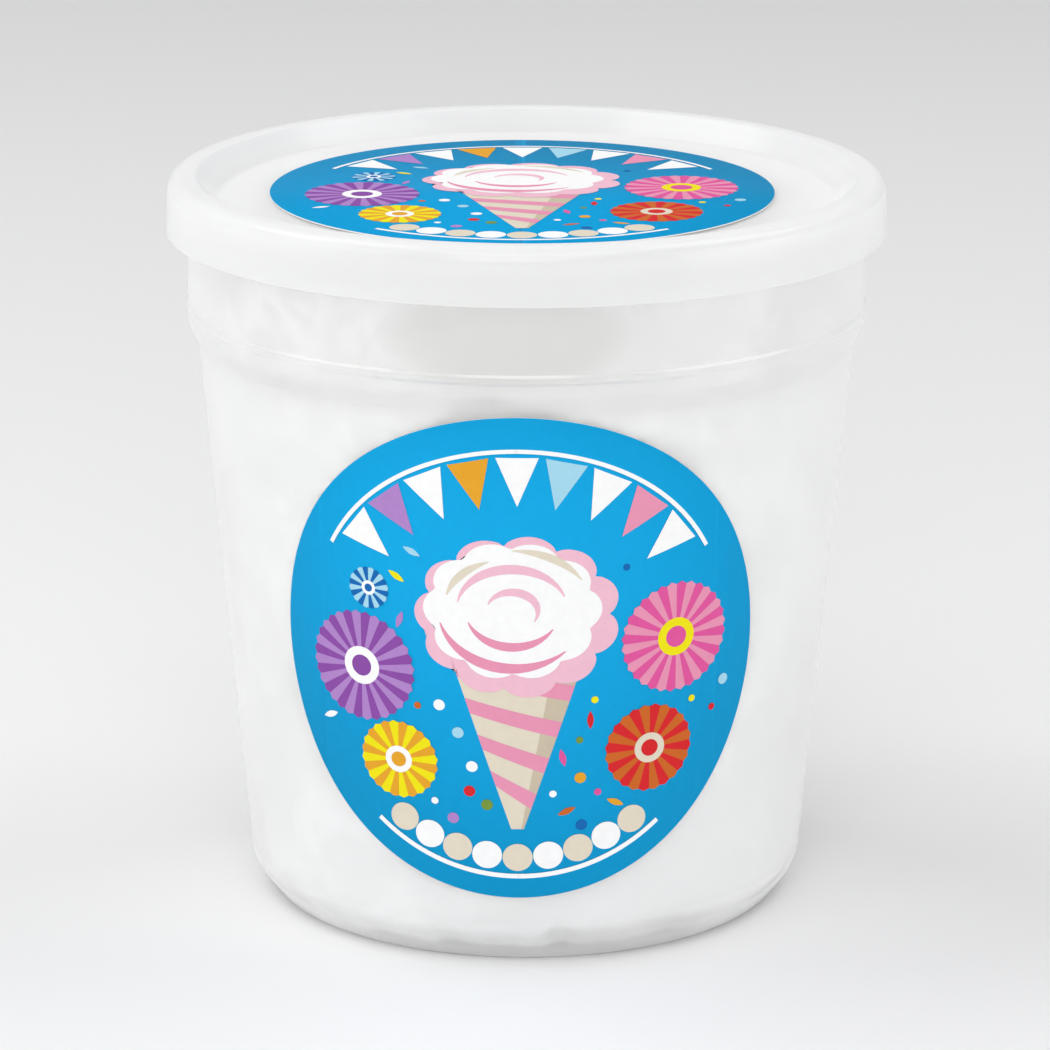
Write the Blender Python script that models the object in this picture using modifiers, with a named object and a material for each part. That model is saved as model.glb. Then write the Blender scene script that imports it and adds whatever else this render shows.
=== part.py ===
"""A round plastic tub of white cotton candy, with its push-on lid and two round paper labels.

The tub stands on its base ring at z = 0 with its axis on Z, and its front label faces -Y.
Run with: blender --background --python part.py
"""

import math

import bmesh
import bpy
from mathutils import Matrix, Vector, noise

# Lid, in metres like all the sizes below.
LID_RADIUS = 0.05875
LID_TOP = 0.1206
LID_THICKNESS = 0.0008
SKIRT_BOTTOM = 0.1115
SKIRT_FLARE = 0.0005
CREST_WIDTH = 0.0045
PANEL_RADIUS = 0.0501
PANEL_DEPTH = 0.0037

# Tub.
WALL = 0.0007
COLLAR_RADIUS = 0.0553
COLLAR_BOTTOM = 0.0965
STEP_HEIGHT = 0.0031
STEP_TOP = COLLAR_BOTTOM - STEP_HEIGHT
BAND_TOP = 0.1001
BAND_WIDTH = 0.0017
BAND_FLANK = 0.0004
BAND_BULGE = 0.00025
BODY_TOP_RADIUS = 0.05365
BODY_BASE_RADIUS = 0.0454
BASE_CORNER = 0.0050
BASE_RECESS = 0.0014
RING_OUTER_RADIUS = 0.0420
RING_INNER_RADIUS = 0.0385
RING_SLOPE = 0.0012
RIM_RADIUS = 0.0563
RIM_THICKNESS = 0.0009

# Rounded corners of the lid: radius of each bend.
PANEL_BEND = 0.0012
CREST_BEND = 0.0010
CREST_BEND_UNDER = 0.0004
SHOULDER_BEND = 0.0030
SHOULDER_BEND_UNDER = 0.0022
SKIRT_BEND = 0.0003
SKIRT_BEND_UNDER = 0.0002

# Rounded corners of the tub: radius of each bend.
RECESS_BEND = 0.0005
FLOOR_BEND = 0.0008
RING_BEND = 0.0016
RING_BEND_INSIDE = 0.0020
BASE_BEND = 0.0060
BASE_BEND_INSIDE = 0.0030
STEP_BEND_INSIDE = 0.0012
COLLAR_BEND = 0.0024
COLLAR_BEND_INSIDE = 0.0020
RIM_BEND = 0.0007
EDGE_BEND = 0.0004

# Labels.
LABEL_RADIUS = 0.0411
LABEL_THICKNESS = 0.0002
LABEL_HEIGHT = 0.0526
LABEL_TURN = math.radians(-1.5)
FRONT_LABEL_SQUASH = 0.989
LID_LABEL_PLACE = (-0.0007, 0.0002)

# Space between neighbouring pieces.
GAP = 0.0003

# Cotton candy: how the filling lies in the tub.
CANDY_CLEARANCE = 0.00045
CANDY_FLOOR = 0.0025
CANDY_CORNER = 0.0022
CANDY_TOP = 0.1155
CANDY_SHOULDER = 0.0035
FOLD_DEPTH = 0.0012
FOLD_SIZE = 0.016
LUMP_DEPTH = 0.0008
LUMP_SIZE = 0.008
LUMP_SHIFT = (7.0, 3.0, 11.0)
HOLLOW_DEPTH = 0.0042
HOLLOW_TURN = math.radians(-3)
HOLLOW_HALF_TURN = math.radians(20)
HOLLOW_HEIGHT = 0.1055
HOLLOW_HALF_HEIGHT = 0.0078
HOLLOW_EDGE = 1.15
HOLLOW_EASE = 0.6

# Mesh resolution.
SEGMENTS = 64
SHORT_ARC = 0.0008
LONG_ARC = 0.0016
MOST_OF_HALF = 0.48
WELD = 0.00001
LABEL_SEGMENTS = 64
LABEL_STRIP = 0.0032
CANDY_LEG = 0.006
CANDY_CAP_LEG = 0.016


def clear_scene():
    for item in list(bpy.data.objects):
        bpy.data.objects.remove(item)


def make_material(name, colour, roughness, transmission=0.0):
    material = bpy.data.materials.new(name)
    material.use_nodes = True
    shader = material.node_tree.nodes["Principled BSDF"]
    shader.inputs["Base Color"].default_value = (*colour, 1.0)
    shader.inputs["Roughness"].default_value = roughness
    shader.inputs["Metallic"].default_value = 0.0
    shader.inputs["Transmission Weight"].default_value = transmission
    material.diffuse_color = (*colour, 1.0)
    return material


def link(name, mesh, material, collection):
    item = bpy.data.objects.new(name, mesh)
    item.data.materials.append(material)
    collection.objects.link(item)
    return item


def rounded(corners):
    """The outline through (radius, height, bend) points, with each corner turned into a short arc."""
    outline = []
    for index, (radius, height, bend) in enumerate(corners):
        here = Vector((radius, height))
        if bend == 0.0 or index in (0, len(corners) - 1):
            outline.append(here)
            continue
        before = Vector(corners[index - 1][:2]) - here
        after = Vector(corners[index + 1][:2]) - here
        half = before.angle(after) / 2
        reach = min(bend / math.tan(half), MOST_OF_HALF * before.length, MOST_OF_HALF * after.length)
        start = here + before.normalized() * reach
        end = here + after.normalized() * reach
        middle = (before.normalized() + after.normalized()).normalized()
        centre = here + middle * (reach / math.cos(half))
        sweep = (start - centre).angle_signed(end - centre)
        run = abs(sweep) * (start - centre).length
        steps = 1 if run < SHORT_ARC else 2 if run < LONG_ARC else 3
        for step in range(steps + 1):
            outline.append(centre + Matrix.Rotation(-sweep * step / steps, 2) @ (start - centre))
    return outline


def turned(name, corners, material, collection):
    """A solid of revolution about Z, from corners that start and end on the axis."""
    outline = rounded(corners)
    mesh = bpy.data.meshes.new(name)
    edges = [(index, index + 1) for index in range(len(outline) - 1)]
    mesh.from_pydata([(point.x, 0.0, point.y) for point in outline], edges, [])
    item = link(name, mesh, material, collection)
    screw = item.modifiers.new("turn", "SCREW")
    screw.axis = "Z"
    screw.steps = SEGMENTS
    screw.render_steps = SEGMENTS
    screw.use_merge_vertices = True
    screw.merge_threshold = WELD
    screw.use_smooth_shade = True
    return item


def body_radius(height):
    """Outer radius of the tapered wall at a height."""
    return BODY_BASE_RADIUS + (BODY_TOP_RADIUS - BODY_BASE_RADIUS) * height / STEP_TOP


def make_tub(collection):
    """The shell: base with a standing ring, tapered wall, step, straight collar with a fine band, and outward rim."""
    rim_top = LID_TOP - LID_THICKNESS - GAP
    rim_under = rim_top - RIM_THICKNESS
    inside = [
        (0.0, BASE_RECESS + WALL, 0.0),
        (RING_INNER_RADIUS - RING_SLOPE, BASE_RECESS + WALL, FLOOR_BEND),
        (RING_INNER_RADIUS, WALL, FLOOR_BEND),
        (RING_OUTER_RADIUS, WALL, RING_BEND_INSIDE),
        (body_radius(BASE_CORNER) - WALL, BASE_CORNER, BASE_BEND_INSIDE),
        (BODY_TOP_RADIUS - WALL, STEP_TOP, STEP_BEND_INSIDE),
        (COLLAR_RADIUS - WALL, COLLAR_BOTTOM, COLLAR_BEND_INSIDE),
        (COLLAR_RADIUS - WALL, rim_top, EDGE_BEND),
    ]
    outside = [
        (RIM_RADIUS, rim_top, RIM_BEND),
        (RIM_RADIUS, rim_under, EDGE_BEND),
        (COLLAR_RADIUS, rim_under, EDGE_BEND),
        (COLLAR_RADIUS, BAND_TOP, 0.0),
        (COLLAR_RADIUS + BAND_BULGE, BAND_TOP - BAND_FLANK, 0.0),
        (COLLAR_RADIUS + BAND_BULGE, BAND_TOP - BAND_WIDTH + BAND_FLANK, 0.0),
        (COLLAR_RADIUS, BAND_TOP - BAND_WIDTH, 0.0),
        (COLLAR_RADIUS, COLLAR_BOTTOM, COLLAR_BEND),
        (BODY_TOP_RADIUS, STEP_TOP, 0.0),
        (body_radius(BASE_CORNER), BASE_CORNER, BASE_BEND),
        (RING_OUTER_RADIUS, 0.0, RING_BEND),
        (RING_INNER_RADIUS, 0.0, RECESS_BEND),
        (RING_INNER_RADIUS - RING_SLOPE, BASE_RECESS, RECESS_BEND),
        (0.0, BASE_RECESS, 0.0),
    ]
    material = make_material("clear_plastic", (0.93, 0.94, 0.94), 0.35, 0.6)
    return turned("tub", inside + outside, material, collection)


def make_lid(collection):
    """The cap: sunken flat panel, raised crest over the tub's rim, and a skirt that grips it."""
    panel = LID_TOP - PANEL_DEPTH
    under = LID_TOP - LID_THICKNESS
    shoulder = LID_RADIUS - SKIRT_FLARE
    crest_inner = shoulder - CREST_WIDTH
    corners = [
        (0.0, panel, 0.0),
        (PANEL_RADIUS, panel, PANEL_BEND),
        (crest_inner, LID_TOP, CREST_BEND),
        (shoulder, LID_TOP, SHOULDER_BEND),
        (LID_RADIUS, SKIRT_BOTTOM, SKIRT_BEND),
        (LID_RADIUS - LID_THICKNESS, SKIRT_BOTTOM, SKIRT_BEND_UNDER),
        (shoulder - LID_THICKNESS, under, SHOULDER_BEND_UNDER),
        (crest_inner, under, CREST_BEND_UNDER),
        (PANEL_RADIUS, panel - LID_THICKNESS, PANEL_BEND),
        (0.0, panel - LID_THICKNESS, 0.0),
    ]
    material = make_material("milky_plastic", (0.93, 0.94, 0.94), 0.4, 0.3)
    return turned("lid", corners, material, collection)


def candy_outline():
    """The unwrinkled filling: a flat bottom, a side that follows the wall, a rounded shoulder and a flat top."""
    base_inside = body_radius(BASE_CORNER) - WALL
    foot_share = (CANDY_FLOOR - WALL) / (BASE_CORNER - WALL)
    foot = RING_OUTER_RADIUS + (base_inside - RING_OUTER_RADIUS) * foot_share
    collar_inside = COLLAR_RADIUS - WALL
    corners = [
        (0.0, CANDY_FLOOR, 0.0),
        (foot - CANDY_CLEARANCE, CANDY_FLOOR, CANDY_CORNER),
        (base_inside - CANDY_CLEARANCE, BASE_CORNER, BASE_BEND_INSIDE),
        (BODY_TOP_RADIUS - WALL - CANDY_CLEARANCE, STEP_TOP, STEP_BEND_INSIDE),
        (collar_inside - CANDY_CLEARANCE, COLLAR_BOTTOM, COLLAR_BEND_INSIDE),
        (collar_inside - CANDY_CLEARANCE, CANDY_TOP, CANDY_SHOULDER),
        (0.0, CANDY_TOP, 0.0),
    ]
    bends = rounded(corners)
    outline = [bends[0]]
    for before, after in zip(bends, bends[1:]):
        on_axis = before.x == 0.0 or after.x == 0.0
        pieces = math.ceil((after - before).length / (CANDY_CAP_LEG if on_axis else CANDY_LEG))
        outline += [before.lerp(after, piece / pieces) for piece in range(1, pieces + 1)]
    return outline


def hollow(turn, height):
    """Depth of the place under the lid, at the front, where the filling stands off the collar."""
    across = (turn - HOLLOW_TURN) / HOLLOW_HALF_TURN
    up = (height - HOLLOW_HEIGHT) / HOLLOW_HALF_HEIGHT
    share = max(0.0, min(1.0, (HOLLOW_EDGE - math.hypot(across, up)) / HOLLOW_EASE))
    return HOLLOW_DEPTH * share * share * (3 - 2 * share)


def folds(place):
    """Inward depth of the folds and tufts of the spun sugar at a point of its surface."""
    wide = noise.noise(place / FOLD_SIZE)
    small = noise.noise(place / LUMP_SIZE + Vector(LUMP_SHIFT))
    return FOLD_DEPTH * max(0.0, wide) + LUMP_DEPTH * max(0.0, small)


def make_candy(collection):
    """The filling: its outline turned about Z, then pressed in by folds, tufts and the hollow under the lid."""
    shape = bmesh.new()
    inward = shape.verts.layers.float_vector.new("inward")
    profile = [shape.verts.new((point.x, 0.0, point.y)) for point in candy_outline()]
    for before, here, after in zip(profile, profile[1:], profile[2:]):
        along = (after.co - here.co).normalized() + (here.co - before.co).normalized()
        here[inward] = Vector((-along.z, 0.0, along.x)).normalized()
    edges = [shape.edges.new(ends) for ends in zip(profile, profile[1:])]
    bmesh.ops.spin(
        shape,
        geom=profile + edges,
        cent=(0.0, 0.0, 0.0),
        axis=(0.0, 0.0, 1.0),
        angle=2 * math.pi,
        steps=SEGMENTS,
        use_merge=True,
    )
    bmesh.ops.remove_doubles(shape, verts=shape.verts, dist=WELD)
    for vertex in shape.verts:
        turn = math.atan2(vertex.co.x, -vertex.co.y)
        depth = folds(vertex.co) + hollow(turn, vertex.co.z)
        across = vertex[inward].x
        push = Vector((math.sin(turn) * across, -math.cos(turn) * across, vertex[inward].z))
        vertex.co += push * depth
    bmesh.ops.triangulate(shape, faces=shape.faces)
    bmesh.ops.recalc_face_normals(shape, faces=shape.faces)
    mesh = bpy.data.meshes.new("cotton_candy")
    shape.to_mesh(mesh)
    shape.free()
    mesh.shade_smooth()
    material = make_material("spun_sugar", (0.95, 0.95, 0.94), 0.9)
    return link("cotton_candy", mesh, material, collection)


def label_sheet(name, place_point, material, collection):
    """A round label: a disc cut into narrow strips, laid on its surface by place_point, then given thickness."""
    shape = bmesh.new()
    bmesh.ops.create_circle(shape, cap_ends=True, segments=LABEL_SEGMENTS, radius=LABEL_RADIUS)
    cuts = int(LABEL_RADIUS / LABEL_STRIP)
    for index in range(-cuts, cuts + 1):
        bmesh.ops.bisect_plane(
            shape,
            geom=shape.verts[:] + shape.edges[:] + shape.faces[:],
            plane_co=(index * LABEL_STRIP, 0.0, 0.0),
            plane_no=(1.0, 0.0, 0.0),
        )
    bmesh.ops.triangulate(shape, faces=shape.faces)
    for vertex in shape.verts:
        vertex.co = place_point(vertex.co.x, vertex.co.y)
    mesh = bpy.data.meshes.new(name)
    shape.to_mesh(mesh)
    shape.free()
    item = link(name, mesh, material, collection)
    thickness = item.modifiers.new("paper", "SOLIDIFY")
    thickness.thickness = LABEL_THICKNESS
    thickness.offset = 1.0
    return item


def on_wall(across, up):
    """Where a point of the front label lies, wrapped round the tapered wall."""
    up *= FRONT_LABEL_SQUASH
    taper = (BODY_TOP_RADIUS - BODY_BASE_RADIUS) / STEP_TOP
    slant = math.hypot(1.0, taper)
    apex = (body_radius(LABEL_HEIGHT) + GAP) * slant / taper
    reach = math.hypot(apex + up, across)
    height = LABEL_HEIGHT + (reach - apex) / slant
    radius = body_radius(height) + GAP
    turn = LABEL_TURN + math.atan2(across, apex + up) * reach / radius
    return Vector((radius * math.sin(turn), -radius * math.cos(turn), height))


def on_panel(across, up):
    """Where a point of the lid's label lies, on the sunken panel."""
    return Vector((across + LID_LABEL_PLACE[0], up + LID_LABEL_PLACE[1], LID_TOP - PANEL_DEPTH + GAP))


def main():
    clear_scene()
    collection = bpy.data.collections.new("cotton_candy_tub")
    bpy.context.scene.collection.children.link(collection)
    paper = make_material("label_paper", (0.01, 0.36, 0.72), 0.45)
    make_tub(collection)
    make_lid(collection)
    make_candy(collection)
    label_sheet("front_label", on_wall, paper, collection)
    label_sheet("lid_label", on_panel, paper, collection)


main()
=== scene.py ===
"""The looks of a round tub of white cotton candy: frosted plastic, spun sugar, printed labels and light.

Z is up, the tub stands on the floor at z = 0 with its axis on Z, and its front label faces -Y.
Sizes are in metres, apart from those of the print, which are in millimetres from the middle of a label.
"""

import math

import bmesh
import bpy
from mathutils import Euler, Matrix, Vector, noise


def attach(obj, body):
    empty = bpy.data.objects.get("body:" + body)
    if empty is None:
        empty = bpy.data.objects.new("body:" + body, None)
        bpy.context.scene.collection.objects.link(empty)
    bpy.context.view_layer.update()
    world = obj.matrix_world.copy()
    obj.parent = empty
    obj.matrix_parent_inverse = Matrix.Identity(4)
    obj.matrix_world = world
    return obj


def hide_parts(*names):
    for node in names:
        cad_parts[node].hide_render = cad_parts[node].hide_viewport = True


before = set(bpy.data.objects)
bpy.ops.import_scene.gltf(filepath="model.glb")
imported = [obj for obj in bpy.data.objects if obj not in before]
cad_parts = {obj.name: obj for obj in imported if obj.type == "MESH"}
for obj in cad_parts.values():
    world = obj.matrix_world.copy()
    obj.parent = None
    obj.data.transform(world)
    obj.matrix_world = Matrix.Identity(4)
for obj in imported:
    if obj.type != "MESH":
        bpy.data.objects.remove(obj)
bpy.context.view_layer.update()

MM = 0.001

# Lid, with the tub's and the labels' sizes below, as the solids have them.
LID_RADIUS = 0.05875
LID_TOP = 0.1206
LID_THICKNESS = 0.0008
SKIRT_BOTTOM = 0.1115
SKIRT_FLARE = 0.0005
CREST_WIDTH = 0.0045
PANEL_RADIUS = 0.0501
PANEL_DEPTH = 0.0037

# Tub.
WALL = 0.0007
COLLAR_RADIUS = 0.0553
COLLAR_BOTTOM = 0.0965
STEP_HEIGHT = 0.0031
STEP_TOP = COLLAR_BOTTOM - STEP_HEIGHT
BAND_TOP = 0.1001
BAND_WIDTH = 0.0017
BAND_FLANK = 0.0004
BAND_BULGE = 0.00025
BODY_TOP_RADIUS = 0.05365
BODY_BASE_RADIUS = 0.0454
BODY_TAPER = (BODY_TOP_RADIUS - BODY_BASE_RADIUS) / STEP_TOP
BASE_CORNER = 0.0050
BASE_RECESS = 0.0014
RING_OUTER_RADIUS = 0.0420
RING_INNER_RADIUS = 0.0385
RING_SLOPE = 0.0012
RIM_RADIUS = 0.0563
RIM_THICKNESS = 0.0009

# Labels.
LABEL_RADIUS = 0.0411
LABEL_THICKNESS = 0.0002
LABEL_HEIGHT = 0.0526
LABEL_TURN = math.radians(-1.5)
FRONT_LABEL_SQUASH = 0.989
LID_LABEL_PLACE = (-0.0007, 0.0002)

# Space between neighbouring solids.
GAP = 0.0003

# Rounded corners of the lid: radius of each bend.
PANEL_BEND = 0.0012
CREST_BEND = 0.0010
CREST_BEND_UNDER = 0.0004
SHOULDER_BEND = 0.0030
SHOULDER_BEND_UNDER = 0.0022
SKIRT_BEND = 0.0003
SKIRT_BEND_UNDER = 0.0002

# Rounded corners of the tub: radius of each bend. The step's are softer here than in the solids.
RECESS_BEND = 0.0005
FLOOR_BEND = 0.0008
RING_BEND = 0.0016
RING_BEND_INSIDE = 0.0020
BASE_BEND = 0.0060
BASE_BEND_INSIDE = 0.0030
STEP_BEND = 0.0050
COLLAR_BEND = 0.0060
RIM_BEND = 0.0007
EDGE_BEND = 0.0004


def linear(red, green, blue):
    """Linear colour for 8-bit screen values."""
    def one(value):
        value /= 255
        return value / 12.92 if value <= 0.04045 else ((value + 0.055) / 1.055) ** 2.4
    return (one(red), one(green), one(blue), 1.0)


class Nodes:
    """A short way to build a material's node tree. Colours are sockets, and shaders are nodes."""

    def __init__(self, name):
        self.material = bpy.data.materials.new(name)
        self.material.use_nodes = True
        self.tree = self.material.node_tree
        self.tree.nodes.clear()
        self.output = self.tree.nodes.new("ShaderNodeOutputMaterial")

    def add(self, kind, inputs=None, **settings):
        """A node, with values or the sockets of other nodes at its inputs."""
        node = self.tree.nodes.new("ShaderNode" + kind)
        for key, value in settings.items():
            setattr(node, key, value)
        for key, value in (inputs or {}).items():
            if isinstance(value, bpy.types.NodeSocket):
                self.tree.links.new(value, node.inputs[key])
            else:
                node.inputs[key].default_value = value
        return node

    def place(self):
        return self.add("TexCoord").outputs["Object"]

    def attribute(self, name):
        return self.add("Attribute", attribute_name=name).outputs["Fac"]

    def calculate(self, operation, first, second, clamp=False):
        return self.add("Math", {0: first, 1: second}, operation=operation, use_clamp=clamp).outputs[0]

    def spread(self, value, source=(0.0, 1.0), target=(0.0, 1.0)):
        """A value's place in one range, turned into its place in another."""
        ends = {"From Min": source[0], "From Max": source[1], "To Min": target[0], "To Max": target[1]}
        return self.add("MapRange", {"Value": value, **ends}).outputs["Result"]

    def colours(self, share, low, high):
        """A colour between two others."""
        return self.add("Mix", {0: share, 6: low, 7: high}, data_type="RGBA").outputs[2]

    def soft_noise(self, vector, scale):
        """Cloudy noise whose middle range fills 0 to 1."""
        field = self.add("TexNoise", {"Vector": vector, "Scale": scale, "Detail": 4.0})
        return self.spread(field.outputs["Fac"], (0.3, 0.7))

    def shaders(self, share, first, second):
        """A shader that lies between two others."""
        return self.add("MixShader", {0: share, 1: first.outputs[0], 2: second.outputs[0]})

    def finish(self, shader):
        """The material, with a shader as its surface."""
        self.tree.links.new(shader.outputs[0], self.output.inputs["Surface"])
        return self.material


# Milky plastic: how it thickens in its creases and at a slant, the painted shade that greys a crease, and
# what its clear part looks like.
CREASE_HAZE = 0.7
CREASE_PAINTED_SHADE = linear(232, 234, 238)
CLOUD_SCALE = 60.0
SLANT_POWER = 2.5
GRAZE_POWER = 5.0
GRAZE_SHINE = 0.5
CLEAR_TINT = (0.985, 0.988, 0.99, 1.0)
WHITE = (1.0, 1.0, 1.0, 1.0)


def plastic(name, haze, tints, roughness, shine, through, foot, foot_haze, foot_tint, shadow):
    """Thin milky plastic: partly see-through, partly scattering, with a soft shine.

    All of it happens at the outer skin. The inner one is clear, so that what touches it shows no seam.
    haze is the share that isn't clear where the plastic faces the eye, and at its edges.
    tints are the two colours that its clouds drift between.
    through is the share of the haze that light crosses.
    foot holds the heights where the look of the low end begins and is full.
    foot_haze is how many times thicker the haze is there, and foot_tint is the colour.
    shadow is the share of the haze that holds back light on its way to what lies behind.
    """
    nodes = Nodes(name)
    place = nodes.place()
    height = nodes.add("SeparateXYZ", {0: place}).outputs["Z"]
    at_foot = nodes.spread(height, foot)
    tint = nodes.colours(nodes.soft_noise(place, CLOUD_SCALE), *tints)
    tint = nodes.colours(at_foot, tint, foot_tint)
    # Painted shade: a grey tint along the band's lower crease, strongest at the front.
    tint = nodes.colours(nodes.attribute("grey"), tint, CREASE_PAINTED_SHADE)

    facing = nodes.add("LayerWeight", {"Blend": 0.5}).outputs["Facing"]
    thick = nodes.spread(nodes.calculate("POWER", facing, SLANT_POWER), target=haze)
    total = nodes.calculate("MULTIPLY", thick, nodes.spread(at_foot, target=(1.0, foot_haze)), clamp=True)
    light = nodes.add("LightPath").outputs["Is Shadow Ray"]
    total = nodes.calculate("MULTIPLY", total, nodes.spread(light, target=(1.0, shadow)))
    crease = nodes.calculate("MULTIPLY", nodes.attribute("milk"), CREASE_HAZE)
    total = nodes.calculate("MAXIMUM", total, crease)

    scatter = nodes.add("BsdfDiffuse", {"Color": tint, "Roughness": 0.5})
    glow = nodes.add("BsdfTranslucent", {"Color": tint})
    clear = nodes.add("BsdfTransparent", {"Color": CLEAR_TINT})
    body = nodes.shaders(total, clear, nodes.shaders(through, scatter, glow))
    mirror = nodes.spread(nodes.calculate("POWER", facing, GRAZE_POWER), target=(shine, GRAZE_SHINE))
    gloss = nodes.add("BsdfGlossy", {"Color": WHITE, "Roughness": roughness})
    outside = nodes.shaders(mirror, body, gloss)
    inside = nodes.add("BsdfTransparent", {"Color": tint})
    return nodes.finish(nodes.shaders(nodes.attribute("skin"), inside, outside))


# Spun sugar: the threads run in three directions, bent by a wide noise.
THREAD_TURNS = [(0.3, 0.0, 0.9), (1.1, 0.5, 2.2), (0.6, 1.2, 4.0)]
THREAD_STRETCH = (1.0, 1.0, 0.08)
THREAD_SCALE = 900.0
THREAD_SPREAD = (1.2, 1.8)
WARP_SCALE = 90.0
WARP_REACH = 0.012
DRIFT_SCALE = 55.0
SUGAR_LOW = linear(252, 252, 251)
SUGAR_HIGH = linear(254, 254, 254)
SUGAR_THREAD = linear(249, 249, 248)
# The grey of thin random patches, and of the painted shade in the hollows and behind the collar.
SUGAR_THIN_AND_SHADE = linear(231, 231, 228)


def sugar(name):
    """Spun sugar: white, matt and soft, with fine crossed threads in colour and relief."""
    nodes = Nodes(name)
    place = nodes.place()
    bend = nodes.add("TexNoise", {"Vector": place, "Scale": WARP_SCALE, "Detail": 2.0})
    warp = nodes.add("VectorMath", {0: bend.outputs["Color"], "Scale": WARP_REACH}, operation="SCALE")
    bent = nodes.add("VectorMath", {0: place, 1: warp.outputs[0]}, operation="ADD").outputs[0]
    strands = []
    for turn in THREAD_TURNS:
        stretched = nodes.add("Mapping", {"Vector": bent, "Rotation": turn, "Scale": THREAD_STRETCH})
        strand = {"Vector": stretched.outputs[0], "Scale": THREAD_SCALE, "Detail": 2.0}
        strands.append(nodes.add("TexNoise", strand).outputs["Fac"])
    crossed = nodes.calculate("ADD", nodes.calculate("ADD", strands[0], strands[1]), strands[2])
    threads = nodes.spread(crossed, THREAD_SPREAD)
    base = nodes.colours(nodes.soft_noise(place, DRIFT_SCALE), SUGAR_LOW, SUGAR_HIGH)
    tint = nodes.colours(threads, SUGAR_THREAD, base)
    # Greyer in random thin patches, and with painted shade in the hollows and behind the collar.
    tint = nodes.colours(nodes.attribute("thin"), tint, SUGAR_THIN_AND_SHADE)
    bump = nodes.add("Bump", {"Strength": 0.25, "Distance": 0.0004, "Height": threads})
    looks = {
        "Base Color": tint,
        "Roughness": 0.85,
        "Specular IOR Level": 0.15,
        "Subsurface Weight": 0.35,
        "Subsurface Radius": (1.0, 1.0, 1.0),
        "Subsurface Scale": 0.0014,
        "Normal": bump.outputs[0],
    }
    return nodes.finish(nodes.add("BsdfPrincipled", looks))


# An ink's grain: how fine it is, and how dark its low side.
GRAIN_SCALE = 700.0
GRAIN_SHADE = 0.96


def ink(name, colour):
    """Printed paper of one ink, a little uneven and with the faint sheen of a coated label."""
    nodes = Nodes(name)
    grain = nodes.soft_noise(nodes.place(), GRAIN_SCALE)
    low = tuple(part * GRAIN_SHADE for part in colour[:3]) + (1.0,)
    tint = nodes.colours(grain, low, colour)
    bump = nodes.add("Bump", {"Strength": 0.05, "Distance": 0.0001, "Height": grain})
    looks = {"Base Color": tint, "Roughness": 0.55, "Specular IOR Level": 0.03, "Normal": bump.outputs[0]}
    return nodes.finish(nodes.add("BsdfPrincipled", looks))


# Studio paper: painted shade darkens it along the floor, and faster up the backdrop.
PAPER_NEAR = linear(241, 241, 241)
PAPER_FAR = linear(224, 224, 225)
PAPER_RISE = 2.5
PAPER_SPREAD = (-0.3, 3.0)
PAPER_DRIFT_SCALE = 2.0
PAPER_DRIFT = 0.06


def studio_paper(name):
    """Studio paper with painted shade that darkens it from the near floor to the far backdrop, and drifts a
    little.
    """
    nodes = Nodes(name)
    place = nodes.place()
    parts = nodes.add("SeparateXYZ", {0: place}).outputs
    along = nodes.calculate("ADD", parts["Y"], nodes.calculate("MULTIPLY", parts["Z"], PAPER_RISE))
    fade = nodes.spread(along, PAPER_SPREAD)
    drift = nodes.soft_noise(place, PAPER_DRIFT_SCALE)
    share = nodes.add("Math", {0: drift, 1: PAPER_DRIFT, 2: fade}, operation="MULTIPLY_ADD", use_clamp=True)
    tint = nodes.colours(share.outputs[0], PAPER_NEAR, PAPER_FAR)
    looks = {"Base Color": tint, "Roughness": 0.8, "Specular IOR Level": 0.1}
    return nodes.finish(nodes.add("BsdfPrincipled", looks))


def mesh_of(name, points, faces, **marks):
    """A mesh that carries a number at each point under each name in marks."""
    mesh = bpy.data.meshes.new(name)
    mesh.from_pydata(points, [], faces)
    for mark, values in marks.items():
        mesh.attributes.new(mark, "FLOAT", "POINT").data.foreach_set("value", values)
    return mesh


def smooth_item(mesh, material):
    """A smooth item of the scene, named after its mesh."""
    mesh.shade_smooth()
    mesh.materials.append(material)
    item = bpy.data.objects.new(mesh.name, mesh)
    bpy.context.scene.collection.objects.link(item)
    return item


def ring_faces(rings, around):
    """The faces of a closed surface whose points are one end, rings of points, and the other end."""
    def at(ring, k):
        return 1 + ring * around + k % around
    end = 1 + rings * around
    faces = []
    for k in range(around):
        faces.append((0, at(0, k + 1), at(0, k)))
        faces.append((end, at(rings - 1, k), at(rings - 1, k + 1)))
        for ring in range(rings - 1):
            faces.append((at(ring, k), at(ring, k + 1), at(ring + 1, k + 1), at(ring + 1, k)))
    return faces


# Points round the tub and the lid, and legs of the arc at a bend.
TURN_STEPS = 240
ARC_STEPS = 6
# The most of a straight stretch that the arc at one of its ends takes.
ARC_REACH = 0.48
# An edge sharper than this stays crisp.
CRISP_ANGLE = math.radians(40)
# Where the painted shade of a crease fades out round the side, as the cosine of the turn from the front.
CREASE_SIDE = 0.86
CREASE_EASE = 0.1


def body_radius(height):
    """Outer radius of the tapered wall at a height."""
    return BODY_BASE_RADIUS + (BODY_TOP_RADIUS - BODY_BASE_RADIUS) * height / STEP_TOP


def smooth_share(value):
    """A value held between 0 and 1, with a soft start and end."""
    value = max(0.0, min(1.0, value))
    return value * value * (3 - 2 * value)


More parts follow.
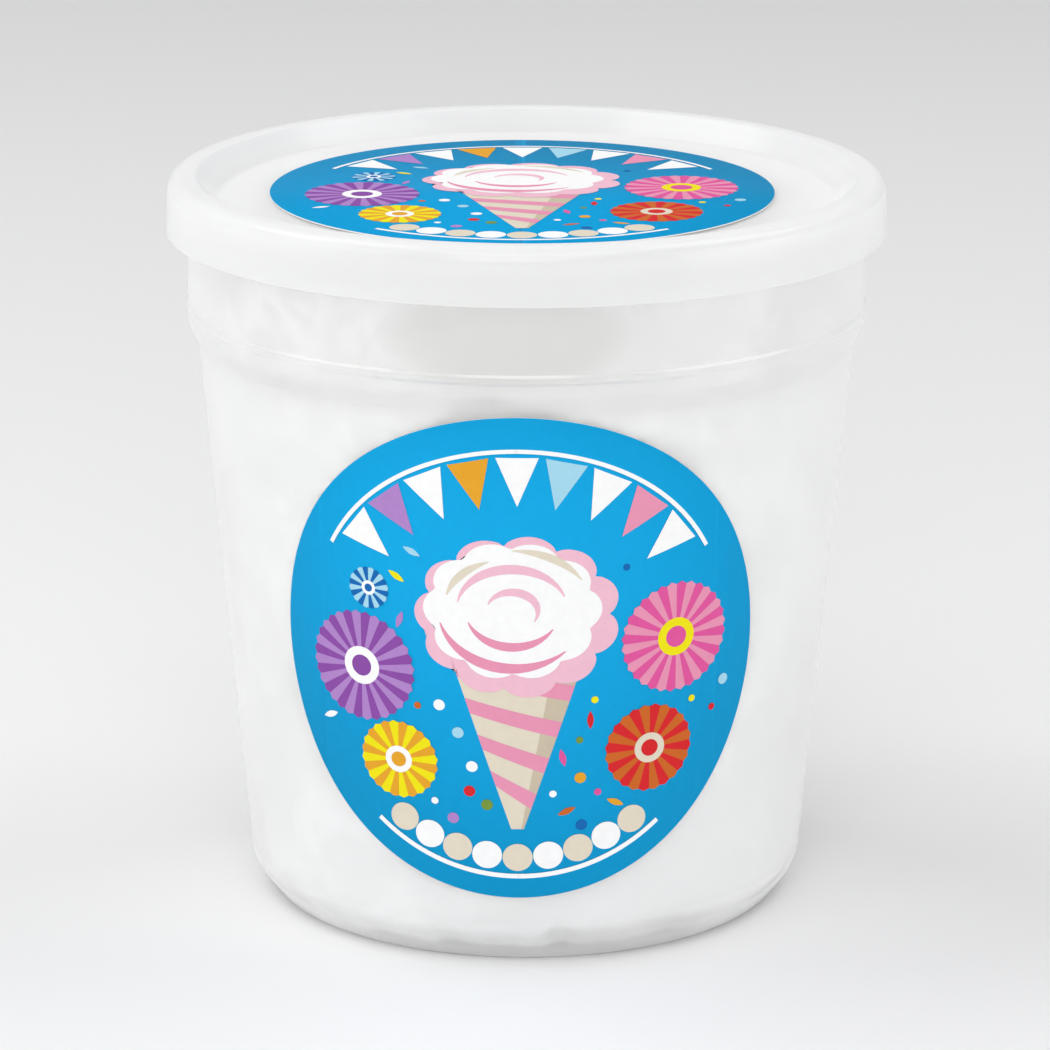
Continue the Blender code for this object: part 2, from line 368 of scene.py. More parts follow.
def rounded(corners):
    """The outline through (radius, height, bend) corners, with each bend turned into a short arc.

    Each point comes with the index of its corner.
    """
    outline = []
    for index, (radius, height, bend) in enumerate(corners):
        here = Vector((radius, height))
        if bend == 0.0 or index in (0, len(corners) - 1):
            outline.append((here, index))
            continue
        before = Vector(corners[index - 1][:2]) - here
        after = Vector(corners[index + 1][:2]) - here
        half = before.angle(after) / 2
        reach = min(bend / math.tan(half), ARC_REACH * before.length, ARC_REACH * after.length)
        start = here + before.normalized() * reach
        end = here + after.normalized() * reach
        centre = here + (before.normalized() + after.normalized()).normalized() * (reach / math.cos(half))
        sweep = (start - centre).angle_signed(end - centre)
        for step in range(ARC_STEPS + 1):
            spoke = Matrix.Rotation(sweep * -step / ARC_STEPS, 2) @ (start - centre)
            outline.append((centre + spoke, index))
    return outline


def turned(name, corners, outer, material, creases=None):
    """A smooth solid of revolution about Z, from an outline that starts and ends on the axis.

    outer holds the first and last corner of the outside, which the material tells from the inside.
    creases gives corners where the plastic is milkier, with how much painted shade greys them there.
    The painted shade fades round the side, and the milkiness of a shaded crease with it.
    """
    outline = rounded(corners)
    points, skin, milk, grey = [], [], [], []
    for point, index in outline:
        around = 1 if point.x == 0.0 else TURN_STEPS
        shade = (creases or {}).get(index)
        for k in range(around):
            angle = 2 * math.pi * k / around
            points.append((point.x * math.sin(angle), -point.x * math.cos(angle), point.y))
            front = smooth_share((math.cos(angle) - CREASE_SIDE) / CREASE_EASE)
            skin.append(1.0 if outer[0] <= index <= outer[1] else 0.0)
            milk.append(0.0 if shade is None else front if shade else 1.0)
            # Painted shade along a crease, fading round the side.
            grey.append(shade * front if shade else 0.0)
    mesh = mesh_of(name, points, ring_faces(len(outline) - 2, TURN_STEPS), skin=skin, milk=milk, grey=grey)
    shape = bmesh.new()
    shape.from_mesh(mesh)
    bmesh.ops.recalc_face_normals(shape, faces=shape.faces)
    shape.to_mesh(mesh)
    shape.free()
    item = smooth_item(mesh, material)
    mesh.set_sharp_from_angle(angle=CRISP_ANGLE)
    return item


def wall_inside(into=0.0):
    """The corners of the tub's inside, from the middle of its floor up to the collar.

    into is how far they are moved into the wall.
    """
    return [
        (0.0, BASE_RECESS + WALL - into, 0.0),
        (RING_INNER_RADIUS - RING_SLOPE, BASE_RECESS + WALL - into, FLOOR_BEND),
        (RING_INNER_RADIUS, WALL - into, FLOOR_BEND),
        (RING_OUTER_RADIUS, WALL - into, RING_BEND_INSIDE),
        (body_radius(BASE_CORNER) - WALL + into, BASE_CORNER, BASE_BEND_INSIDE),
        (BODY_TOP_RADIUS - WALL + into, STEP_TOP, STEP_BEND),
        (COLLAR_RADIUS - WALL + into, COLLAR_BOTTOM, COLLAR_BEND),
    ]


# How far above and below the band's creases their milkiness ends.
CREASE_FADE = 0.0001


def make_tub(material):
    """The shell: base with a standing ring, tapered wall, step, straight collar and outward rim."""
    rim_top = LID_TOP - LID_THICKNESS - GAP
    rim_under = rim_top - RIM_THICKNESS
    inside = wall_inside() + [(COLLAR_RADIUS - WALL, rim_top, EDGE_BEND)]
    rim = [
        (RIM_RADIUS, rim_top, RIM_BEND),
        (RIM_RADIUS, rim_under, EDGE_BEND),
        (COLLAR_RADIUS, rim_under, EDGE_BEND),
    ]
    band_low = BAND_TOP - BAND_WIDTH
    band = [
        (COLLAR_RADIUS, BAND_TOP + CREASE_FADE, 0.0),
        (COLLAR_RADIUS, BAND_TOP, 0.0),
        (COLLAR_RADIUS + BAND_BULGE, BAND_TOP - BAND_FLANK, 0.0),
        (COLLAR_RADIUS + BAND_BULGE, BAND_TOP - BAND_FLANK - CREASE_FADE, 0.0),
        (COLLAR_RADIUS + BAND_BULGE, band_low + BAND_FLANK + CREASE_FADE, 0.0),
        (COLLAR_RADIUS + BAND_BULGE, band_low + BAND_FLANK, 0.0),
        (COLLAR_RADIUS, band_low, 0.0),
        (COLLAR_RADIUS, band_low - CREASE_FADE, 0.0),
    ]
    below = [
        (COLLAR_RADIUS, COLLAR_BOTTOM, COLLAR_BEND),
        (BODY_TOP_RADIUS, STEP_TOP, STEP_BEND),
        (body_radius(BASE_CORNER), BASE_CORNER, BASE_BEND),
        (RING_OUTER_RADIUS, 0.0, RING_BEND),
        (RING_INNER_RADIUS, 0.0, RECESS_BEND),
        (RING_INNER_RADIUS - RING_SLOPE, BASE_RECESS, RECESS_BEND),
        (0.0, BASE_RECESS, 0.0),
    ]
    start = len(inside) + len(rim)
    # The band's upper flank is milky all round, and its lower one milky and greyed by painted shade at the
    # front, for the dark line under the band.
    creases = {start + 1: 0.0, start + 2: 0.0, start + 5: 1.0, start + 6: 1.0}
    corners = inside + rim + band + below
    return turned("tub_shell", corners, (len(inside), len(corners) - 1), material, creases)


def make_lid(material):
    """The cap: sunken flat panel, raised crest over the tub's rim, and a skirt that grips it."""
    panel = LID_TOP - PANEL_DEPTH
    shoulder = LID_RADIUS - SKIRT_FLARE
    crest_inner = shoulder - CREST_WIDTH
    under = LID_TOP - LID_THICKNESS
    outside = [
        (0.0, panel, 0.0),
        (PANEL_RADIUS, panel, PANEL_BEND),
        (crest_inner, LID_TOP, CREST_BEND),
        (shoulder, LID_TOP, SHOULDER_BEND),
        (LID_RADIUS, SKIRT_BOTTOM, SKIRT_BEND),
    ]
    inside = [
        (LID_RADIUS - LID_THICKNESS, SKIRT_BOTTOM, SKIRT_BEND_UNDER),
        (shoulder - LID_THICKNESS, under, SHOULDER_BEND_UNDER),
        (crest_inner, under, CREST_BEND_UNDER),
        (PANEL_RADIUS, panel - LID_THICKNESS, PANEL_BEND),
        (0.0, panel - LID_THICKNESS, 0.0),
    ]
    return turned("lid_cap", outside + inside, (0, len(outside)), material)


# Spun sugar's surface: points round it, and rows of them along its outline.
CANDY_ROUND = 450
CANDY_ROWS = 190
FLOOR_ROWS = 12
TOP_ROWS = 14
# The share of the flat floor and of the flat top that their own rows take.
FLAT_SHARE = 0.96
CANDY_TOP = 0.1155
CANDY_SHOULDER = 0.0035
INTO_WALL = 0.0001

# Its folds, lumps, tufts and threads: depth and width of each, and shifts that keep their noises apart.
FOLD_DEPTH = 0.0012
FOLD_SIZE = 0.016
LUMP_DEPTH = 0.0008
LUMP_SIZE = 0.008
LUMP_SHIFT = Vector((7.0, 3.0, 11.0))
TUFT_DEPTH = 0.0006
TUFT_SIZE = 0.0032
TUFT_SHIFT = Vector((1.0, 5.0, 2.0))
THREAD_DEPTH = 0.0003
THREAD_SIZE = 0.0011

# The swirl that bends its tufts and threads.
SWIRL_SIZE = 0.012
SWIRL_REACH = 0.004
SWIRL_SEED = 5

# Soft patches where the sugar lies thin: size and strength of the broad and the small ones.
PATCH_GREY = 0.45
PATCHES = [(0.020, 1.3), (0.007, 0.6)]
PATCH_SHIFT = Vector((3.0, 9.0, 4.0))

# Places where the filling stands off the wall: turn, half turn, height, half height, depth, and the grey of
# the painted shade in each hollow.
HOLLOWS = [
    (math.radians(-3), math.radians(20), 0.1055, 0.0078, 0.0042, 0.92),
    (math.radians(-16.5), math.radians(4), 0.0020, 0.0030, 0.0006, 0.4),
    (math.radians(7.5), math.radians(4), 0.0025, 0.0042, 0.0008, 0.7),
    (math.radians(25), math.radians(20), 0.0028, 0.0034, 0.0004, 0.8),
]
# Their soft edge, in half sizes from the middle: where it ends, and how wide it is.
HOLLOW_END = 1.15
HOLLOW_EDGE = 0.6
# How grey the painted shadow of the lid makes the sugar behind the collar, and how the sugar draws in at
# the foot.
COLLAR_PAINTED_SHADOW = 0.55
FOOT_TOP = 0.0062
FOOT_DEPTH = 0.0006


def candy_rows():
    """Radius, height and inward direction along the filling's outline, from its bottom to its top."""
    corners = wall_inside(INTO_WALL) + [
        (COLLAR_RADIUS - WALL + INTO_WALL, CANDY_TOP, CANDY_SHOULDER),
        (0.0, CANDY_TOP, 0.0),
    ]
    outline = [point for point, index in rounded(corners)]
    floor_run = (RING_INNER_RADIUS - RING_SLOPE) * FLAT_SHARE
    top_run = (COLLAR_RADIUS - CANDY_SHOULDER) * FLAT_SHARE
    whole = sum((b - a).length for a, b in zip(outline, outline[1:]))
    side_rows = CANDY_ROWS - FLOOR_ROWS - TOP_ROWS
    marks = [floor_run * k / FLOOR_ROWS for k in range(1, FLOOR_ROWS)]
    marks += [floor_run + (whole - floor_run - top_run) * k / side_rows for k in range(side_rows)]
    marks += [whole - top_run + top_run * k / TOP_ROWS for k in range(TOP_ROWS)]
    rows = []
    passed, leg = 0.0, 0
    for mark in marks:
        while mark > passed + (outline[leg + 1] - outline[leg]).length:
            passed += (outline[leg + 1] - outline[leg]).length
            leg += 1
        along = (outline[leg + 1] - outline[leg]).normalized()
        point = outline[leg] + along * (mark - passed)
        rows.append((point.x, point.y, Vector((-along.y, along.x))))
    return rows


def stand_off(angle, height):
    """How far the filling stands off the wall, and the painted shade in its hollows and behind the collar.
    """
    depth = FOOT_DEPTH * smooth_share((FOOT_TOP - height) / FOOT_TOP)
    grey = 0.0
    for turn, half_turn, middle, half_height, deep, shade in HOLLOWS:
        off = math.hypot((angle - turn) / half_turn, (height - middle) / half_height)
        share = smooth_share((HOLLOW_END - off) / HOLLOW_EDGE)
        depth += deep * share
        grey += shade * share
    below_step = STEP_TOP - STEP_HEIGHT
    # Painted shadow of the lid, greyest at the front and back of the collar.
    grey += COLLAR_PAINTED_SHADOW * abs(math.cos(angle)) * smooth_share((height - below_step) / STEP_HEIGHT)
    return depth, grey


def folds(place):
    """Inward depth of the folds, lumps, tufts and threads at a point of the sugar's surface."""
    fold = noise.noise(place / FOLD_SIZE)
    lump = noise.noise(place / LUMP_SIZE + LUMP_SHIFT)
    swirl = noise.noise_vector(place / SWIRL_SIZE) * SWIRL_REACH
    tuft = noise.noise((place + swirl) / TUFT_SIZE + TUFT_SHIFT)
    thread = noise.noise((place + swirl) / THREAD_SIZE)
    return (
        FOLD_DEPTH * max(0.0, fold)
        + LUMP_DEPTH * max(0.0, lump)
        + TUFT_DEPTH * max(0.0, tuft)
        + THREAD_DEPTH * max(0.0, thread)
    )


def patches(place):
    """How thin the sugar lies, from 0 up, in broad soft patches with smaller ones among them."""
    return max(0.0, sum(share * noise.noise(place / size + PATCH_SHIFT) for size, share in PATCHES))


def make_candy(material):
    """The filling, pressed against the wall, with its folds and tufts."""
    noise.seed_set(SWIRL_SEED)
    rows = candy_rows()
    points = [(0.0, 0.0, BASE_RECESS + WALL - INTO_WALL)]
    greys = [0.0]
    for radius, height, inward in rows:
        for k in range(CANDY_ROUND):
            angle = 2 * math.pi * k / CANDY_ROUND
            angle -= 2 * math.pi if angle > math.pi else 0.0
            out = Vector((math.sin(angle), -math.cos(angle), 0.0))
            place = out * radius + Vector((0.0, 0.0, height))
            gap, grey = stand_off(angle, height)
            depth = folds(place) + gap
            points.append(place + (out * inward.x + Vector((0.0, 0.0, inward.y))) * depth)
            # Random thin patches, added to the painted shade.
            greys.append(grey + PATCH_GREY * patches(place))
    points.append((0.0, 0.0, CANDY_TOP))
    greys.append(0.0)
    mesh = mesh_of("sugar_mass", points, ring_faces(len(rows), CANDY_ROUND), thin=greys)
    return smooth_item(mesh, material)


# The print's inks. A label's own blue lies under them.
INKS = {
    "white": linear(250, 250, 250),
    "cream": linear(226, 216, 197),
    "shade": linear(203, 190, 168),
    "blush": linear(240, 190, 208),
    "rose": linear(232, 150, 180),
    "pink": linear(224, 90, 158),
    "yellow": linear(240, 228, 30),
    "gold": linear(230, 165, 50),
    "orange": linear(205, 105, 45),
    "red": linear(215, 45, 50),
    "purple": linear(140, 80, 165),
    "violet": linear(176, 134, 200),
    "green": linear(120, 150, 65),
    "sky": linear(165, 215, 235),
    "deep": linear(30, 105, 178),
}
FRONT_BLUE = linear(22, 167, 226)
LID_BLUE = linear(17, 157, 214)
PAPER_BACK = linear(246, 246, 244)

# How thick a line is at its tips, as a share of its middle.
LINE_TIP = 0.12
# A rosette's folded points, its middle and the dot on it, as shares of its radius.
ROSETTE_TIP = 1.05
ROSETTE_MIDDLE = 0.36
ROSETTE_DOT = 0.2
# A cloud's lobes: how far they bulge, how round they are, and points on each.
LOBE_BULGE = 0.13
LOBE_ROUNDNESS = 0.7
LOBE_STEPS = 12


def polar(radius, degrees):
    """A point of the print, by its distance from the label's middle and its direction."""
    angle = math.radians(degrees)
    return radius * math.cos(angle), radius * math.sin(angle)


def disc(x, y, radius, count=28):
    """A round field."""
    turns = [2 * math.pi * k / count for k in range(count)]
    return [(x + radius * math.cos(turn), y + radius * math.sin(turn)) for turn in turns]


def arc_band(radius, width, start, end, count):
    """Short four-sided fields that make a curved band about the label's middle. Angles are in degrees."""
    low, high = radius - width / 2, radius + width / 2
    fields = []
    for k in range(count):
        here = start + (end - start) * k / count
        there = start + (end - start) * (k + 1) / count
        fields.append([polar(high, here), polar(high, there), polar(low, there), polar(low, here)])
    return fields


def stroke(points, width):
    """A line that swells in its middle and runs out to points."""
    left, right = [], []
    for k, (x, y) in enumerate(points):
        xa, ya = points[max(0, k - 1)]
        xb, yb = points[min(len(points) - 1, k + 1)]
        run = math.hypot(xb - xa, yb - ya)
        swell = math.sin(math.pi * k / (len(points) - 1))
        half = width / 2 * (LINE_TIP + (1 - LINE_TIP) * swell)
        nx, ny = -(yb - ya) / run * half, (xb - xa) / run * half
        left.append((x + nx, y + ny))
        right.append((x - nx, y - ny))
    return left + right[::-1]


def cloud(x, y, wide, tall, lobes, turn=0.0):
    """A puffy outline of equal lobes."""
    outline = []
    for k in range(lobes * LOBE_STEPS):
        a = 2 * math.pi * k / (lobes * LOBE_STEPS)
        swell = 1 + LOBE_BULGE * abs(math.sin(lobes * (a + turn) / 2)) ** LOBE_ROUNDNESS
        outline.append((x + wide * swell * math.cos(a), y + tall * swell * math.sin(a)))
    return outline


def rosette(x, y, radius, dark, light, core, petals):
    """A folded-paper rosette: a fan of two inks whose folds come to points, with a round middle."""
    tip = radius * ROSETTE_TIP
    fields = []
    for k in range(petals * 2):
        a = math.pi * k / petals
        b = math.pi * (k + 1) / petals
        mid = (a + b) / 2
        fan = [
            (x, y),
            (x + radius * math.cos(a), y + radius * math.sin(a)),
            (x + tip * math.cos(mid), y + tip * math.sin(mid)),
            (x + radius * math.cos(b), y + radius * math.sin(b)),
        ]
        fields.append((dark if k % 2 else light, 2, fan))
    fields.append((core, 3, disc(x, y, radius * ROSETTE_MIDDLE)))
    fields.append((dark, 4, disc(x, y, radius * ROSETTE_DOT)))
    return fields


def bunting():
    """A cord of pointed flags along the top of the label."""
    cord, top, tip = 35.5, 34.6, 26.3
    flag_step, flag_half = 13.0, 5.6
    flags = ["white", "rose", "white", "sky", "white", "gold", "white", "violet", "white"]
    fields = [("white", 1, field) for field in arc_band(cord, width=0.7, start=28, end=152, count=60)]
    for k, colour in enumerate(flags):
        mid = 90 + (k - (len(flags) - 1) / 2) * flag_step
        flag = [polar(top, mid - flag_half), polar(tip, mid), polar(top, mid + flag_half)]
        fields.append((colour, 1, flag))
    return fields


def paper_cone():
    """A striped paper cone, shaded on its right."""
    tip_y, rim_y, rim_half, tip_half = -29.0, 0.0, 10.5, 1.0
    shade_rim, shade_tip = rim_half * 0.55, 0.6
    stripes, stripe_low, stripe_step, stripe_rise = 4, -24.5, 6.2, 2.6
    left_lift, right_drop = 3.0, 1.0

    def side(y):
        return tip_half + (rim_half - tip_half) * (y - tip_y) / (rim_y - tip_y)

    fields = [
        ("cream", 1, [(-rim_half, rim_y), (-tip_half, tip_y), (tip_half, tip_y), (rim_half, rim_y)]),
        ("shade", 2, [(shade_rim, rim_y), (shade_tip, tip_y), (tip_half, tip_y), (rim_half, rim_y)]),
    ]
    for k in range(stripes):
        low = stripe_low + stripe_step * k
        left = (low + left_lift + stripe_rise, low + left_lift)
        right = (low - right_drop, low - right_drop + stripe_rise)
        fields.append(("rose", 3, [(-side(y), y) for y in left] + [(side(y), y) for y in right]))
    return fields


# The curls of the sugar: distance from its middle, start and sweep in degrees, width and ink.
CURLS = [
    (10.6, 195, 120, 1.8, "rose"),
    (7.8, 20, 150, 1.6, "blush"),
    (6.6, 200, 130, 1.5, "rose"),
    (3.6, 330, 190, 1.4, "blush"),
    (11.2, 30, 60, 1.3, "cream"),
    (9.6, 110, 55, 1.3, "cream"),
]


def puff():
    """A puff of spun sugar: a white cloud before a pink one, with curls."""
    x, y = -0.8, 8.6
    steps, wide, tall = 18, 1.12, 0.92
    fields = [
        ("blush", 4, cloud(0.0, 7.6, 14.6, 12.2, lobes=11)),
        ("white", 5, cloud(x, y, 12.6, 10.4, lobes=10, turn=0.3)),
    ]
    for radius, start, sweep, width, colour in CURLS:
        turns = [math.radians(start + sweep * k / steps) for k in range(steps + 1)]
        line = [(x + radius * wide * math.cos(a), y + radius * tall * math.sin(a)) for a in turns]
        fields.append((colour, 6, stroke(line, width)))
    return fields


# Rosettes: middle, radius, inks, count of petals, and the radius that the confetti keeps clear of.
ROSETTES = [
    (-26.0, -3.5, 9.0, "purple", "violet", "white", 16, 11),
    (26.0, 2.0, 9.0, "pink", "rose", "yellow", 16, 11),
    (-19.5, -18.6, 6.4, "gold", "yellow", "white", 12, 8.4),
    (21.5, -16.5, 7.2, "red", "orange", "cream", 12, 9),
    (-24.5, 10.2, 3.4, "deep", "sky", "white", 10, 5.2),
]


def scallops():
    """A curved line with a row of dots inside it, along the foot of the label."""
    dots, start, sweep, radius, dot = 9, 237, 66, 34.0, 2.4
    fields = [("white", 1, field) for field in arc_band(37.3, width=0.8, start=232, end=308, count=40)]
    for k in range(dots):
        x, y = polar(radius, start + sweep * k / (dots - 1))
        fields.append(("white" if k % 2 else "cream", 1, disc(x, y, dot)))
    return fields


# Confetti lies on a sunflower's spiral, clear of the puff, the cone and the rosettes.
SPIRAL_STEPS = 400
SPIRAL_TURN = 2.39996
CONFETTI_REACH = 36.5
CONFETTI_APART = 3.4
DOT_RADII = (0.6, 0.95)
DOT_SIDES = 14
DASH_STEPS = (-1.5, -0.75, 0, 0.75, 1.5)
DASH_WIDTH = 1.1
DASH_TILT = 1.7
CONFETTI_INKS = ["yellow", "white", "red", "sky", "green", "pink"]
CONFETTI_INKS += ["orange", "white", "violet", "gold", "deep"]
# Discs about the puff and the cone that stay clear of it: middle and radius.
MIDDLE_CLEAR = [(0, 8, 18.5), (0, -6, 11.5), (0, -20, 6.0), (0, -27, 5.0)]
# Beyond these distances from the middle lie the bunting, above, and the row of dots, below a height.
BUNTING_CLEAR = 24.5
SCALLOPS_CLEAR = 30.5
SCALLOPS_HEIGHT = -14


def confetti():
    """Dots and short dashes, two dots to a dash, strewn where the other motifs leave room."""
    taken = MIDDLE_CLEAR + [(x, y, clear) for x, y, radius, dark, light, core, petals, clear in ROSETTES]
    fields = []
    for k in range(1, SPIRAL_STEPS):
        radius = CONFETTI_REACH * math.sqrt(k / SPIRAL_STEPS)
        turn = k * SPIRAL_TURN
        x, y = radius * math.cos(turn), radius * math.sin(turn)
        outer = math.hypot(x, y)
        on_bunting = y > 0 and outer > BUNTING_CLEAR
        on_scallops = y < SCALLOPS_HEIGHT and outer > SCALLOPS_CLEAR
        if on_bunting or on_scallops or any(math.hypot(x - tx, y - ty) < reach for tx, ty, reach in taken):
            continue
        colour = CONFETTI_INKS[len(fields) % len(CONFETTI_INKS)]
        if len(fields) % 3 == 2:
            tilt = k * DASH_TILT
            line = [(x + step * math.cos(tilt), y + step * math.sin(tilt)) for step in DASH_STEPS]
            outline = stroke(line, DASH_WIDTH)
        else:
            outline = disc(x, y, DOT_RADII[len(fields) % 2], DOT_SIDES)
        fields.append((colour, 1, outline))
        taken.append((x, y, CONFETTI_APART))
    return fields


def design():
    """The print, as fields of an ink, a layer and an outline.

    Bunting hangs over a puff of spun sugar on a striped paper cone. Rosettes are at its sides, a row of
    dots is at its foot, and confetti lies between.
    """
    fields = bunting() + paper_cone() + puff()
    for x, y, radius, dark, light, core, petals, clear in ROSETTES:
        fields += rosette(x, y, radius, dark, light, core, petals)
    return fields + scallops() + confetti()


# The labels are cut into narrow strips to follow the wall, and pressed closer to it than the solids are.
STRIP = 0.0016
PRESSED = 0.00022
LABEL_SIDES = 256
# The print lies a little above the paper, and each of its layers above the one before.
PRINT_LIFT = 0.00002
LAYER = 0.000012


def on_wall(across, up, lift):
    """Where a point of the front label lies, wrapped round the tapered wall."""
    up *= FRONT_LABEL_SQUASH
    slant = math.hypot(1.0, BODY_TAPER)
    middle = body_radius(LABEL_HEIGHT) + GAP
    apex = middle * slant / BODY_TAPER
    reach = math.hypot(apex + up, across)
    height = LABEL_HEIGHT + (reach - apex) / slant
    radius = body_radius(height) + GAP
    angle = LABEL_TURN + math.atan2(across, apex + up) * reach / radius
    radius += lift - PRESSED
    return Vector((radius * math.sin(angle), -radius * math.cos(angle), height))


def on_panel(across, up, lift):
    """Where a point of the lid's label lies, on the sunken panel."""
    across += LID_LABEL_PLACE[0]
    up += LID_LABEL_PLACE[1]
    return Vector((across, up, LID_TOP - PANEL_DEPTH + GAP + lift))


def wrap(shape, surface, lift):
    """Cuts flat fields into narrow strips and lays them on a surface. lift gives each vertex's lift."""
    cuts = int(LABEL_RADIUS / STRIP) + 1
    for index in range(-cuts, cuts + 1):
        bmesh.ops.bisect_plane(
            shape,
            geom=shape.verts[:] + shape.edges[:] + shape.faces[:],
            plane_co=(index * STRIP, 0.0, 0.0),
            plane_no=(1.0, 0.0, 0.0),
        )
    for vertex in shape.verts:
        vertex.co = surface(vertex.co.x, vertex.co.y, lift(vertex))


def sheet(name, shape, material):
    """A thin sheet of a label, from its wrapped shape."""
    mesh = bpy.data.meshes.new(name)
    shape.to_mesh(mesh)
    shape.free()
    item = smooth_item(mesh, material)
    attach(item, "root")
    return item


def label_paper(name, surface, material, back, node):
    """The round paper of a label, as thick as the solid it stands for, with an unprinted back and edge."""
    shape = bmesh.new()
    bmesh.ops.create_circle(shape, cap_ends=True, segments=LABEL_SIDES, radius=LABEL_RADIUS)
    wrap(shape, surface, lambda vertex: 0.0)
    paper = sheet(name, shape, material)
    paper.data.materials.append(back)
    depth = paper.modifiers.new("paper", "SOLIDIFY")
    depth.thickness = LABEL_THICKNESS
    depth.offset = 1.0
    depth.material_offset = 1
    depth.material_offset_rim = 1
    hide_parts(node)


def print_fields(prefix, fields, surface, materials):
    """Lays each ink's fields on a label, as one thin sheet for each ink."""
    by_ink = {}
    for colour, layer, outline in fields:
        by_ink.setdefault(colour, []).append((layer, outline))
    for colour, group in by_ink.items():
        shape = bmesh.new()
        lifts = shape.verts.layers.float.new("lift")
        for layer, outline in group:
            ring = []
            for x, y in outline:
                vertex = shape.verts.new((x * MM, y * MM, 0.0))
                vertex[lifts] = LABEL_THICKNESS + PRINT_LIFT + layer * LAYER
                ring.append(vertex)
            area = sum(xa * yb - xb * ya for (xa, ya), (xb, yb) in zip(outline, outline[1:] + outline[:1]))
            shape.faces.new(ring if area > 0 else ring[::-1])
        bmesh.ops.triangulate(shape, faces=shape.faces)
        wrap(shape, surface, lambda vertex: vertex[lifts])
        sheet(prefix + "_" + colour, shape, materials[colour])


# Floor and backdrop: one sheet of paper that sweeps up behind.
FLOOR_HALF = 3.0
FLOOR_FRONT = -2.0
FLOOR_BACK = 1.6
SWEEP = 0.9
SWEEP_STEPS = 12
BACK_HEIGHT = 3.0


def make_floor(material):
    """The studio's floor, which curves up into the backdrop."""
    profile = [(FLOOR_FRONT, 0.0), (FLOOR_BACK, 0.0)]
    for k in range(1, SWEEP_STEPS + 1):
        turn = math.pi / 2 * k / SWEEP_STEPS
        profile.append((FLOOR_BACK + SWEEP * math.sin(turn), SWEEP * (1 - math.cos(turn))))
    profile.append((FLOOR_BACK + SWEEP, BACK_HEIGHT))
    points = [(x, y, z) for y, z in profile for x in (-FLOOR_HALF, FLOOR_HALF)]
    faces = [(2 * k, 2 * k + 1, 2 * k + 3, 2 * k + 2) for k in range(len(profile) - 1)]
    return smooth_item(mesh_of("studio_floor", points, faces), material)


# Soft lights: name, place, height of the point that it faces on the axis, width, height and power.
LIGHTS = [
    ("light_left", (-1.3, -0.6, 0.75), 0.06, 1.2, 1.2, 6.7),
    ("light_front", (-0.1, -1.7, 0.8), 0.06, 1.2, 1.0, 8.4),
    ("light_right", (1.35, -0.5, 0.4), 0.06, 1.2, 0.7, 4.7),
    ("light_top_left", (-1.0, 0.3, 1.6), 0.0, 1.1, 1.2, 11.2),
    ("light_top_right", (1.1, 0.3, 1.6), 0.0, 1.0, 1.2, 8.3),
    ("light_top_front", (0.0, -0.9, 1.5), 0.0, 1.2, 0.8, 5.1),
]
AIR_TINT = (0.98, 0.985, 1.0, 1.0)
AIR_LIGHT = 0.28


def make_lights():
    """Six soft boxes round the tub, in even air."""
    for name, place, aim, width, height, power in LIGHTS:
        lamp = bpy.data.lights.new(name, "AREA")
        lamp.shape = "RECTANGLE"
        lamp.size = width
        lamp.size_y = height
        lamp.energy = power
        item = bpy.data.objects.new(name, lamp)
        item.location = place
        item.rotation_euler = (Vector((0.0, 0.0, aim)) - Vector(place)).to_track_quat("-Z", "Y").to_euler()
        bpy.context.scene.collection.objects.link(item)
    world = bpy.data.worlds.new("studio_air")
    world.use_nodes = True
    air = world.node_tree.nodes["Background"].inputs
    air["Color"].default_value = AIR_TINT
    air["Strength"].default_value = AIR_LIGHT
    bpy.context.scene.world = world
    bpy.context.scene.view_settings.view_transform = "Standard"


# Camera at the photographed angle: pitch, turn and roll in radians, lens and sensor in millimetres.
CAMERA_DISTANCE = 0.8
CAMERA_HEIGHT = 0.2872
CAMERA_PITCH = 0.2759
CAMERA_TURN = 0.0002
CAMERA_ROLL = 0.0016
CAMERA_LENS = 171.7
CAMERA_SENSOR = 36.0
CAMERA_NEAREST = 0.05


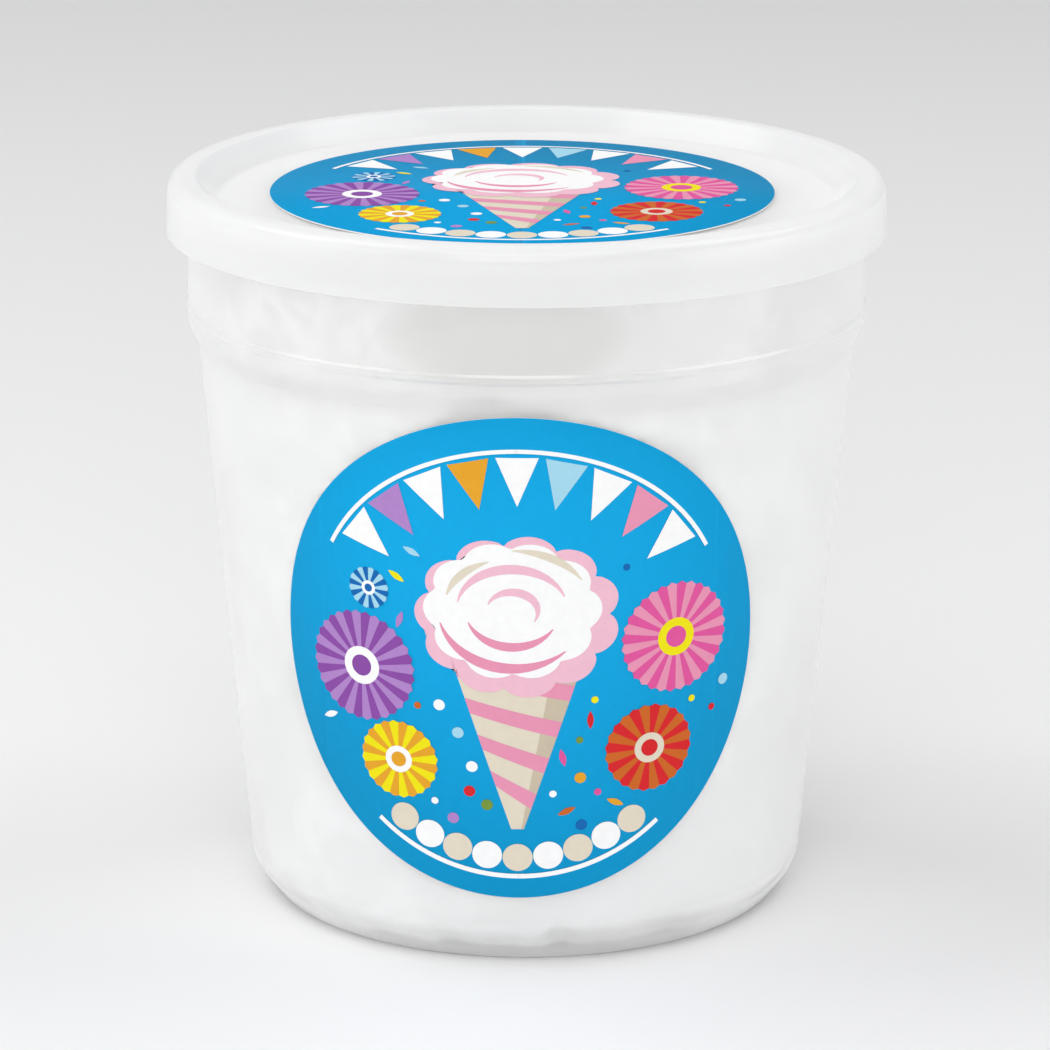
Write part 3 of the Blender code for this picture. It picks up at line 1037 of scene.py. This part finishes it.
def make_camera():
    """The camera, far off with a long lens, looking down a little at the tub's front."""
    lens = bpy.data.cameras.new("camera")
    lens.lens = CAMERA_LENS
    lens.sensor_width = CAMERA_SENSOR
    lens.clip_start = CAMERA_NEAREST
    camera = bpy.data.objects.new("camera", lens)
    place = Matrix.Translation((0.0, -CAMERA_DISTANCE, CAMERA_HEIGHT))
    aim = Euler((math.pi / 2 - CAMERA_PITCH, 0.0, CAMERA_TURN)).to_matrix()
    roll = Matrix.Rotation(CAMERA_ROLL, 3, "Z")
    camera.matrix_world = place @ (aim @ roll).to_4x4()
    bpy.context.scene.collection.objects.link(camera)
    bpy.context.scene.camera = camera


back = ink("paper_back", PAPER_BACK)
label_paper("front_paper", on_wall, ink("front_blue", FRONT_BLUE), back, "front_label")
label_paper("lid_paper", on_panel, ink("lid_blue", LID_BLUE), back, "lid_label")

tub_looks = plastic(
    "tub_plastic",
    haze=(0.34, 0.85),
    tints=(linear(252, 252, 252), linear(254, 254, 254)),
    roughness=0.16,
    shine=0.05,
    through=0.4,
    foot=(0.0075, 0.002),
    foot_haze=1.7,
    foot_tint=linear(253, 253, 253),
    shadow=1.0,
)
lid_looks = plastic(
    "lid_plastic",
    haze=(0.8, 0.95),
    tints=(linear(250, 250, 250), linear(252, 252, 252)),
    roughness=0.2,
    shine=0.035,
    through=0.25,
    foot=(0.1185, 0.112),
    foot_haze=0.8,
    # A grey foot tint: painted shade that darkens the skirt toward its lower edge.
    foot_tint=linear(244, 244, 244),
    shadow=0.4,
)
for piece, node, slot in (
    (make_tub(tub_looks), "tub", "tub_plastic"),
    (make_lid(lid_looks), "lid", "lid_plastic"),
    (make_candy(sugar("spun_sugar")), "cotton_candy", "spun_sugar"),
):
    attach(piece, "root")
    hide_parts(node)

inks = {name: ink("ink_" + name, colour) for name, colour in INKS.items()}
fields = design()
print_fields("front_print", fields, on_wall, inks)
print_fields("lid_print", fields, on_panel, inks)

floor = make_floor(studio_paper("studio_paper"))
make_lights()
make_camera()
